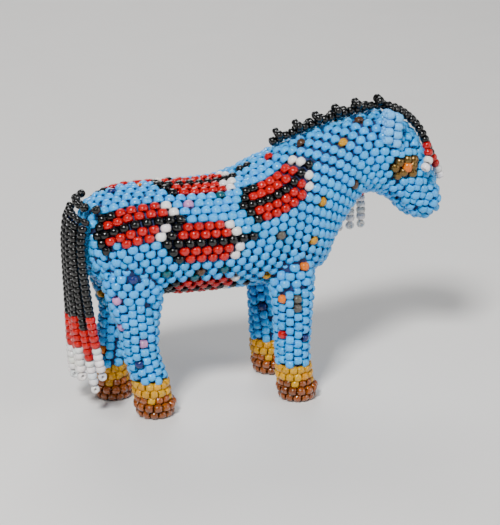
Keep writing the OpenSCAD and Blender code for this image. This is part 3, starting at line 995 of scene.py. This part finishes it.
class HorseColours(bpy.types.PropertyGroup):
    """Colours of the glass and of the thread."""

    blue: colour_of("Blue", "Beads of the skins", (0.025, 0.39, 0.84))
    red: colour_of("Red", "Feathers and tips", (0.50, 0.0, 0.0))
    white: colour_of("White", "Ends of feathers and strings", (0.84, 0.80, 0.74))
    black: colour_of("Black", "Mane, tail and middles of feathers", (0.001, 0.001, 0.001))
    yellow: colour_of("Yellow", "Bands above the hooves", (0.60, 0.27, 0.0))
    brown: colour_of("Brown", "Hooves", (0.24, 0.05, 0.0))
    orange: colour_of("Orange", "Middles of the eyes", (0.75, 0.15, 0.0))
    bronze: colour_of("Bronze", "Rings round the eyes", (0.20, 0.11, 0.025))
    navy: colour_of("Navy", "Odd beads", (0.01, 0.02, 0.12))
    pink: colour_of("Pink", "Odd beads", (0.50, 0.22, 0.42))
    teal: colour_of("Teal", "Odd beads", (0.005, 0.09, 0.11))
    umber: colour_of("Umber", "Odd beads", (0.07, 0.03, 0.012))
    grey: colour_of("Grey", "Odd beads", (0.09, 0.08, 0.06))
    thread: colour_of("Thread", "Thread and cloth between the beads", (0.001, 0.016, 0.11))


class HorseStage(bpy.types.PropertyGroup):
    """Floor, lights and lens."""

    floor: colour_of("Floor", "Colour of the floor", (0.72, 0.70, 0.67))
    light: FloatProperty(name="Light", description="Strength of the lights", default=1.0, min=0, max=10)
    lens: FloatProperty(
        name="Lens", description="Focal length in millimetres", default=113.5, min=10, max=300
    )
    azimuth: angle_of("Azimuth", "Way round the horse", -20)
    elevation: angle_of("Elevation", "Height of the view", 19)
    distance: length_of("Distance", "From the camera to the middle of the view", 350)


# Makers of the pieces


GLASSES = {
    "seed_glass": {},
    "amber_glass": {"shine": 0.8, "rough": 0.1},
    "bronze_glass": {"shine": 0.3, "rough": 0.24, "metallic": 0.85},
}


def glass(name="seed_glass"):
    return bpy.data.materials.get(name) or glass_beads(name, **GLASSES[name])


def ground():
    colour = bpy.context.scene.horse_colours.thread[:]
    return bpy.data.materials.get("ground_cloth") or stitched_cloth("ground_cloth", colour)


def take_eye(items, side, dice):
    """Makes the eye's pieces of the head beads round its spot, and leaves the rest."""
    colours = bpy.context.scene.horse_colours
    centre = eye_spot(side)
    middle = min(items, key=lambda bead: np.linalg.norm(bead["at"] - centre))["at"]
    items = sorted(items, key=lambda bead: np.linalg.norm(bead["at"] - middle))
    pupil, ring, rest = items[:1], items[1:9], items[9:]
    for beads, tint in ((pupil, colours.orange), (ring, colours.bronze)):
        for bead in beads:
            bead["tint"] = tuple(tint)
            bead["size"] = (1.0, 1.0, 1.08)
            bead["at"] = middle + (bead["at"] - middle) * 0.9
    pupil[0]["size"] = (1.08, 1.08, 1.25)
    pupil[0]["at"] = middle + pupil[0]["out"] * 0.2
    node = "eye_right" if side < 0 else "eye_left"
    rim = node.replace("eye", "eye_ring")
    thread_beads(node + "_bead", bag_of(pupil, dice), glass(), "orange_beads", node, seed=3)
    metal = glass("bronze_glass")
    thread_beads(rim + "_beads", bag_of(ring, dice), metal, "bronze_beads", rim, seed=4)
    return rest


class HORSE_OT_skins(bpy.types.Operator):
    """Stitch the beads of trunk, neck, head and legs, with their eyes, feathers and odd beads"""

    bl_idname = "horse.skins"
    bl_label = "Beadwork"

    def execute(self, context):
        beads = context.scene.horse_beads
        dice = np.random.default_rng(beads.seed + 1)
        crowd = Crowd()
        body = body_skin(crowd)
        groups = {"trunk": [], "neck": [], "head": []}
        for bead in body:
            t = bead["t"]
            groups["trunk" if t < NECK_FROM else "neck" if t < HEAD_FROM else "head"].append(bead)
        for leg in LEGS:
            groups[leg + "_leg"] = leg_skin(leg, crowd)
        for side in (-1, 1):
            groups["head"] = take_eye(groups["head"], side, dice)
        add_odd_beads([bead for items in groups.values() for bead in items], dice)
        for name, items in groups.items():
            print(name, "has", len(items), "beads")
            bag = bag_of(items, dice)
            thread_beads(
                name + "_beads", bag, glass(), "blue_beads", name + "_beadwork", seed=len(items)
            )
        return {"FINISHED"}


class HORSE_OT_cloth(bpy.types.Operator):
    """Lay the dark blue ground cloth under the beads"""

    bl_idname = "horse.cloth"
    bl_label = "Ground cloth"

    def execute(self, context):
        paddings = [part + "_padding" for part in ("trunk", "neck", "head")]
        lining("body_cloth", Form(BODY), 1.35, 160, 60, ground(), t_from=0.02, over=paddings)
        for leg in LEGS:
            padding = leg + "_leg_padding"
            lining(leg + "_leg_cloth", leg_form(leg), 1.3, 60, 30, ground(), t_from=0.5, over=[padding])
            lining(leg + "_foot_cloth", leg_form(leg, foot=True), 1.35, 20, 24, ground())
        return {"FINISHED"}


def ring_of(bag, form, height, depth, offset, count, tint, dice, taken=None):
    """Beads side by side round a foot at one height, or those of them that are taken."""
    t = form.at_height(height)
    angles = np.linspace(0, 2 * math.pi, 241)
    length = run_length([form.seat(t, a, depth) for a in angles])
    for i in range(count) if taken is None else sorted(taken):
        a = float(np.interp((i + offset) % count * length[-1] / count, length, angles))
        _, _, around, out = form.axes(t, a)
        at = form.seat(t, a, depth)
        at[2] = height
        out[2] = 0
        bag.add(at, around + dice.normal(0, 0.06, 3), out, shade(tint, dice, 0.12))


class HORSE_OT_feet(bpy.types.Operator):
    """Stitch the bands and the hooves"""

    bl_idname = "horse.feet"
    bl_label = "Bands and hooves"

    def execute(self, context):
        colours = context.scene.horse_colours
        dice = np.random.default_rng(context.scene.horse_beads.seed + 2)
        size = {"diameter": 1.94 * MM, "length": 1.54 * MM}
        yellow, brown = tuple(colours.yellow), tuple(colours.brown)
        count, depth = 13, 0.98
        teeth = set(range(0, count, 3))
        for leg in LEGS:
            form = leg_form(leg, foot=True)
            band, hoof = Bag(), Bag()
            for k, height in enumerate((7.35, 5.8)):
                ring_of(band, form, height, depth, k / 2, count, yellow, dice)
            # The band's beads reach down between the first ones of the hoof
            ring_of(band, form, 4.25, depth, 0, count, yellow, dice, teeth)
            ring_of(hoof, form, 4.25, depth, 0, count, brown, dice, set(range(count)) - teeth)
            ring_of(hoof, form, 2.65, depth, 0.5, count, brown, dice)
            ring_of(hoof, form, 1.02, 1.3, 1, count, brown, dice)
            ring_of(hoof, form, 1.02, 2.9, 1.5, 7, brown, dice)
            thread_beads(leg + "_band_beads", band, glass(), "yellow_beads", leg + "_band", **size)
            amber = glass("amber_glass")
            thread_beads(leg + "_hoof_beads", hoof, amber, "brown_beads", leg + "_hoof", **size)
        return {"FINISHED"}


class HORSE_OT_ears(bpy.types.Operator):
    """Stitch the two ears"""

    bl_idname = "horse.ears"
    bl_label = "Ears"

    def execute(self, context):
        colours = context.scene.horse_colours
        dice = np.random.default_rng(context.scene.horse_beads.seed + 3)
        pale = tuple(0.8 * c + 0.2 * w for c, w in zip(colours.blue, (0.5, 0.8, 1.0)))
        for name, side, drop in (("right", -1, 0.0), ("left", 1, 1.3)):
            bag = Bag()
            spots = [
                (27.0 + 1.0 * way + 0.12 * k, 5.6 + 0.75 * layer, 54.4 + 1.8 * k - 0.45 * way)
                for k in range(4)
                for way in (-1, 1)
                for layer in (-1, 1)
            ]
            for x, y, z in spots:
                out = (0, side * (y - 5.6), 0.1)
                at = (x, side * y, z - drop)
                bag.add(at, (1, 0, -0.1), out, shade(pale, dice), (0.87, 0.87, 1.12))
            thread_beads("ear_" + name + "_beads", bag, glass(), "blue_beads", "ear_" + name)
        return {"FINISHED"}


class HORSE_OT_crest(bpy.types.Operator):
    """Lay the black crest from withers to poll and the tail's dock"""

    bl_idname = "horse.crest"
    bl_label = "Crest and dock"

    def execute(self, context):
        beads = context.scene.horse_beads
        black = tuple(context.scene.horse_colours.black)
        dice = np.random.default_rng(beads.seed + 5)
        size = {"diameter": beads.string_diameter, "length": 1.3 * MM}
        body = Form(BODY)
        route = [spot(body, NECK_FROM + k * 3 / 8, 0, 1.1) for k in range(1, 9)]
        route += [spot(body, on_head(k * 0.4), 0, 1.1) for k in range(1, 5)]
        crest, dock = Bag(), Bag()
        for i, (at, way) in enumerate(threaded(route, 1.52, RIM)):
            up = np.cross(way, (0, 1, 0)) / np.linalg.norm(way)
            crest.add(at, way, up, shade(black, dice, 0.3))
            if i % 3 == 1:
                for lift, sideways in ((1.35, 0.5), (1.1, -1.1)):
                    perch = at + up * lift + np.array([0, sideways, 0])
                    crest.add(perch, way + dice.normal(0, 0.2, 3), up, shade(black, dice, 0.3))
        for i in range(6):
            at = behind_rump((i - 2.5) * TAIL_SPACING, TAIL_TOP + 1.785, 1.2)
            dock.add(at, (-0.5, 0, 0.85), (-1, 0, -0.5), shade(black, dice, 0.3))
        thread_beads("crest_beads", crest, glass(), "black_beads", "mane_crest", **size)
        thread_beads("dock_beads", dock, glass(), "black_beads", "tail_dock", **size)
        return {"FINISHED"}


STRINGS = (
    [(f"mane_string_{i + 1}", mane_route, i, 30, 4, 5) for i in range(7)]
    + [(f"forelock_string_{i + 1}", forelock_route, i, (22.5, 25)[i], 2, 2) for i in range(2)]
    + [(f"tail_string_{i + 1}", tail_route, i, TAIL_LENGTHS[i], 5, 5) for i in range(6)]
)


class HORSE_OT_strings(bpy.types.Operator):
    """Thread the strings of mane, forelock and tail, each on its own body"""

    bl_idname = "horse.strings"
    bl_label = "Strings"

    def execute(self, context):
        beads = context.scene.horse_beads
        colours = context.scene.horse_colours
        pitch = beads.string_pitch / MM
        for number, (node, route, i, length, reds, whites) in enumerate(STRINGS):
            dice = np.random.default_rng(beads.seed + 20 + number)
            bag = Bag()
            tips = reds + whites
            places = threaded(route(i), pitch, RIM, length, tips, beads.tip_pitch / MM)
            for k, (at, way) in enumerate(places):
                left = len(places) - k
                tint = colours.black
                if left <= tips:
                    tint = colours.white if left <= whites else colours.red
                way = way / np.linalg.norm(way)
                if left == 1 and whites > 2:
                    bag.add(at + way * 0.4, (0, 1, 0), (1, 0, 0), shade(tint, dice))
                else:
                    size = (1.06, 1.06, 1.17) if left <= tips else (1.0, 1.0, 1.0)
                    way = way + dice.normal(0, 0.04, 3)
                    bag.add(at, way, (1, 0.3, 0), shade(tint, dice, 0.08), size)
            bag.thread_last(len(places))
            size = {"diameter": beads.string_diameter, "length": beads.string_length}
            thread_beads(
                node + "_beads", bag, glass(), "string_beads", node, node, seed=number, **size
            )
        return {"FINISHED"}


class HORSE_OT_inside(bpy.types.Operator):
    """Give the padding and the wires inside their finishes"""

    bl_idname = "horse.inside"
    bl_label = "Padding and wires"

    def execute(self, context):
        cotton = stitched_cloth("cotton_wadding", (0.68, 0.64, 0.56), strand=0.0006, rough=0.9)
        steel = drawn_wire("drawn_wire")
        for node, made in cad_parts.items():
            if node.endswith("padding") or node.endswith("wire"):
                made.data.materials.clear()
                made.data.materials.append(cotton if node.endswith("padding") else steel)
        return {"FINISHED"}


class HORSE_OT_stage(bpy.types.Operator):
    """Put up the floor, the lights and the camera"""

    bl_idname = "horse.stage"
    bl_label = "Stage"

    def execute(self, context):
        stage = context.scene.horse_stage
        finish = Finish("pale_floor")
        grain = finish.noise(0.02, 4.0)
        tint = tuple(stage.floor)
        finish.paint(
            Base_Color=finish.mix(rgba(tuple(0.96 * c for c in tint)), rgba(tint), grain),
            Roughness=grain.spread(0.55, 0.7),
            Normal=finish.bump(finish.noise(0.001), 0.05, 0.0001),
        )
        mesh = bpy.data.meshes.new("floor")
        mesh.from_pydata([(-4, -4, 0), (4, -4, 0), (4, 4, 0), (-4, 4, 0)], [], [(0, 1, 2, 3)])
        mesh.materials.append(finish.material)
        floor = bpy.data.objects.new("floor", mesh)
        context.scene.collection.objects.link(floor)
        for name, place, size, power in (
            ("key", (-0.35, -0.45, 0.65), 0.16, 11.0),
            ("fill", (0.65, -0.5, 0.35), 0.6, 3.0),
            ("back", (0.1, 0.7, 0.6), 0.5, 4.0),
        ):
            lamp = bpy.data.lights.new(name, "AREA")
            lamp.shape = "SQUARE"
            lamp.size = size
            lamp.energy = power * stage.light
            made = bpy.data.objects.new(name, lamp)
            made.location = place
            aim = Vector((0, 0, 0.03)) - Vector(place)
            made.rotation_euler = aim.to_track_quat("-Z", "Y").to_euler()
            context.scene.collection.objects.link(made)
        world = bpy.data.worlds.new("soft_sky")
        world.use_nodes = True
        world.node_tree.nodes["Background"].inputs["Color"].default_value = (0.82, 0.86, 0.92, 1)
        world.node_tree.nodes["Background"].inputs["Strength"].default_value = 0.24 * stage.light
        context.scene.world = world
        lens = bpy.data.cameras.new("camera")
        lens.lens = stage.lens
        lens.sensor_width = 36
        lens.clip_start = 0.01
        camera = bpy.data.objects.new("camera", lens)
        a, e = stage.azimuth, stage.elevation
        back = Vector((math.sin(a) * math.cos(e), -math.cos(a) * math.cos(e), math.sin(e)))
        camera.location = Vector((-0.0037, -0.003, 0.030)) + back * stage.distance
        camera.rotation_euler = back.to_track_quat("Z", "Y").to_euler()
        context.scene.collection.objects.link(camera)
        context.scene.camera = camera
        return {"FINISHED"}


OPERATORS = (
    HORSE_OT_skins,
    HORSE_OT_cloth,
    HORSE_OT_feet,
    HORSE_OT_ears,
    HORSE_OT_crest,
    HORSE_OT_strings,
    HORSE_OT_inside,
    HORSE_OT_stage,
)


class HORSE_PT_sidebar(bpy.types.Panel):
    """Lists the horse's makers and sizes"""

    bl_label = "Beaded horse"
    bl_space_type = "VIEW_3D"
    bl_region_type = "UI"
    bl_category = "Horse"

    def draw(self, context):
        column = self.layout.column()
        for operator in OPERATORS:
            column.operator(operator.bl_idname)
        scene = context.scene
        for group in (scene.horse_beads, scene.horse_colours, scene.horse_stage):
            box = self.layout.box()
            for key in group.bl_rna.properties.keys():
                if key not in ("rna_type", "name"):
                    box.prop(group, key)


CLASSES = (HorseBeads, HorseColours, HorseStage, *OPERATORS, HORSE_PT_sidebar)


def register():
    for cls in CLASSES:
        bpy.utils.register_class(cls)
    bpy.types.Scene.horse_beads = PointerProperty(type=HorseBeads)
    bpy.types.Scene.horse_colours = PointerProperty(type=HorseColours)
    bpy.types.Scene.horse_stage = PointerProperty(type=HorseStage)


def unregister():
    del bpy.types.Scene.horse_stage
    del bpy.types.Scene.horse_colours
    del bpy.types.Scene.horse_beads
    for cls in reversed(CLASSES):
        bpy.utils.unregister_class(cls)


def main():
    register()
    for operator in OPERATORS:
        group, name = operator.bl_idname.split(".")
        getattr(getattr(bpy.ops, group), name)()


if __name__ == "__main__":
    main()
